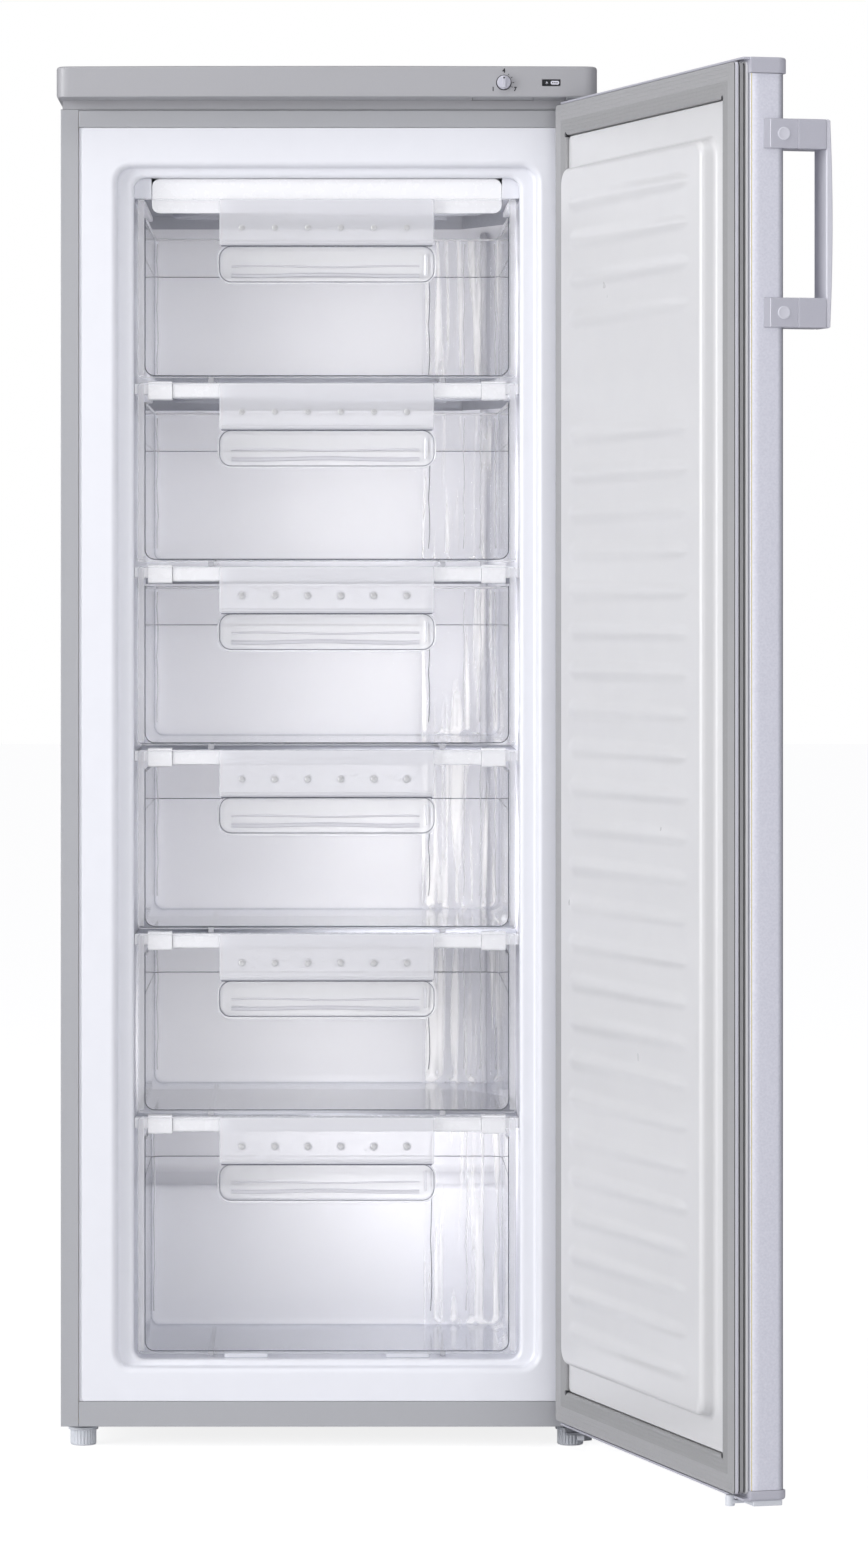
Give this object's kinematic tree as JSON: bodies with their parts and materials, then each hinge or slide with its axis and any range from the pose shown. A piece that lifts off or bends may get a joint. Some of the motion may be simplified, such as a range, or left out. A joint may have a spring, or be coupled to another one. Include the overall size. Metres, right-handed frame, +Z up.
{
  "type": "upright freezer",
  "caption": "Upright freezer with a right-hung door standing open, clear pull-out drawers between cooling shelves, a bowed silver worktop with a dial, and a bar handle.",
  "frame": {"origin": "on the floor, under the centre of the bounding box of the freezer as it stands with its door open 106 degrees", "axes": "+X to the right seen from the front, +Y to the back, +Z up"},
  "size_m": [0.7558, 1.0664, 1.42],
  "materials": {
    "silver_paint": "satin silver paint",
    "silver_plastic": "satin silver-grey",
    "white_plastic": "smooth white",
    "clear_plastic": "clear, glossy",
    "gasket": "matt grey",
    "aluminium": "plain rolled",
    "zinc_steel": "zinc-coated",
    "black_enamel": "black enamel",
    "grey_plastic": "moulded",
    "foam": "foamed in place",
    "dark_plastic": "moulded"
  },
  "bodies": {
    "cabinet": {"cabinet_shell": "silver_paint", "top_rail": "silver_paint", "bottom_rail": "silver_paint", "back_panel": "zinc_steel", "base_plate": "zinc_steel", "inner_liner": "white_plastic", "cabinet_foam": "foam", "worktop": "silver_plastic", "thermostat": "dark_plastic", "fascia_badge": "dark_plastic", "ceiling_cover": "white_plastic", "evaporator_riser": "aluminium", "evaporator_shelf_1": "aluminium", "evaporator_shelf_2": "aluminium", "evaporator_shelf_3": "aluminium", "evaporator_shelf_4": "aluminium", "evaporator_shelf_5": "aluminium", "evaporator_shelf_6": "aluminium", "shelf_trim_2": "white_plastic", "trim_sleeve_2_left": "white_plastic", "trim_sleeve_2_right": "white_plastic", "shelf_trim_3": "white_plastic", "trim_sleeve_3_left": "white_plastic", "trim_sleeve_3_right": "white_plastic", "shelf_trim_4": "white_plastic", "trim_sleeve_4_left": "white_plastic", "trim_sleeve_4_right": "white_plastic", "shelf_trim_5": "white_plastic", "trim_sleeve_5_left": "white_plastic", "trim_sleeve_5_right": "white_plastic", "shelf_trim_6": "white_plastic", "trim_sleeve_6_left": "white_plastic", "trim_sleeve_6_right": "white_plastic", "top_hinge": "zinc_steel", "bottom_hinge": "zinc_steel", "compressor": "black_enamel", "condenser": "black_enamel", "mains_gland": "dark_plastic", "rear_foot_left": "grey_plastic", "rear_foot_right": "grey_plastic"},
    "door": {"door_skin": "silver_paint", "door_top_cap": "silver_plastic", "door_bottom_cap": "silver_plastic", "door_foam": "foam", "door_liner": "white_plastic", "door_gasket": "gasket", "handle_grip": "silver_plastic", "handle_bracket_bottom": "silver_plastic", "handle_screw_cap_bottom": "silver_plastic", "handle_bracket_top": "silver_plastic", "handle_screw_cap_top": "silver_plastic"},
    "drawer_1_body": {"drawer_1": "clear_plastic"},
    "drawer_2_body": {"drawer_2": "clear_plastic"},
    "drawer_3_body": {"drawer_3": "clear_plastic"},
    "drawer_4_body": {"drawer_4": "clear_plastic"},
    "drawer_5_body": {"drawer_5": "clear_plastic"},
    "drawer_6_body": {"drawer_6": "clear_plastic"},
    "knob": {"thermostat_knob": "silver_plastic"},
    "foot_left": {"front_foot_left": "grey_plastic"},
    "foot_right": {"front_foot_right": "grey_plastic"}
  },
  "joints": [
    {"name": "door_hinge", "type": "hinge", "parent": "cabinet", "child": "door", "pos_m": [0.16257, -0.00886, 0.7], "axis": [0, 0, 1], "range_deg": [-106, 24]},
    {"name": "drawer_1_slide", "type": "slide", "parent": "cabinet", "child": "drawer_1_body", "axis": [0, -1, 0], "range_m": [0, 0.3]},
    {"name": "drawer_2_slide", "type": "slide", "parent": "cabinet", "child": "drawer_2_body", "axis": [0, -1, 0], "range_m": [0, 0.3]},
    {"name": "drawer_3_slide", "type": "slide", "parent": "cabinet", "child": "drawer_3_body", "axis": [0, -1, 0], "range_m": [0, 0.3]},
    {"name": "drawer_4_slide", "type": "slide", "parent": "cabinet", "child": "drawer_4_body", "axis": [0, -1, 0], "range_m": [0, 0.3]},
    {"name": "drawer_5_slide", "type": "slide", "parent": "cabinet", "child": "drawer_5_body", "axis": [0, -1, 0], "range_m": [0, 0.3]},
    {"name": "drawer_6_slide", "type": "slide", "parent": "cabinet", "child": "drawer_6_body", "axis": [0, -1, 0], "range_m": [0, 0.2]},
    {"name": "thermostat_turn", "type": "hinge", "parent": "cabinet", "child": "knob", "pos_m": [0.08007, -0.02387, 1.403], "axis": [0, -1, 0], "range_deg": [-135, 135]},
    {"name": "left_foot_height", "type": "slide", "parent": "cabinet", "child": "foot_left", "axis": [0, 0, -1], "range_m": [0, 0.012]},
    {"name": "right_foot_height", "type": "slide", "parent": "cabinet", "child": "foot_right", "axis": [0, 0, -1], "range_m": [0, 0.012]}
  ]
}
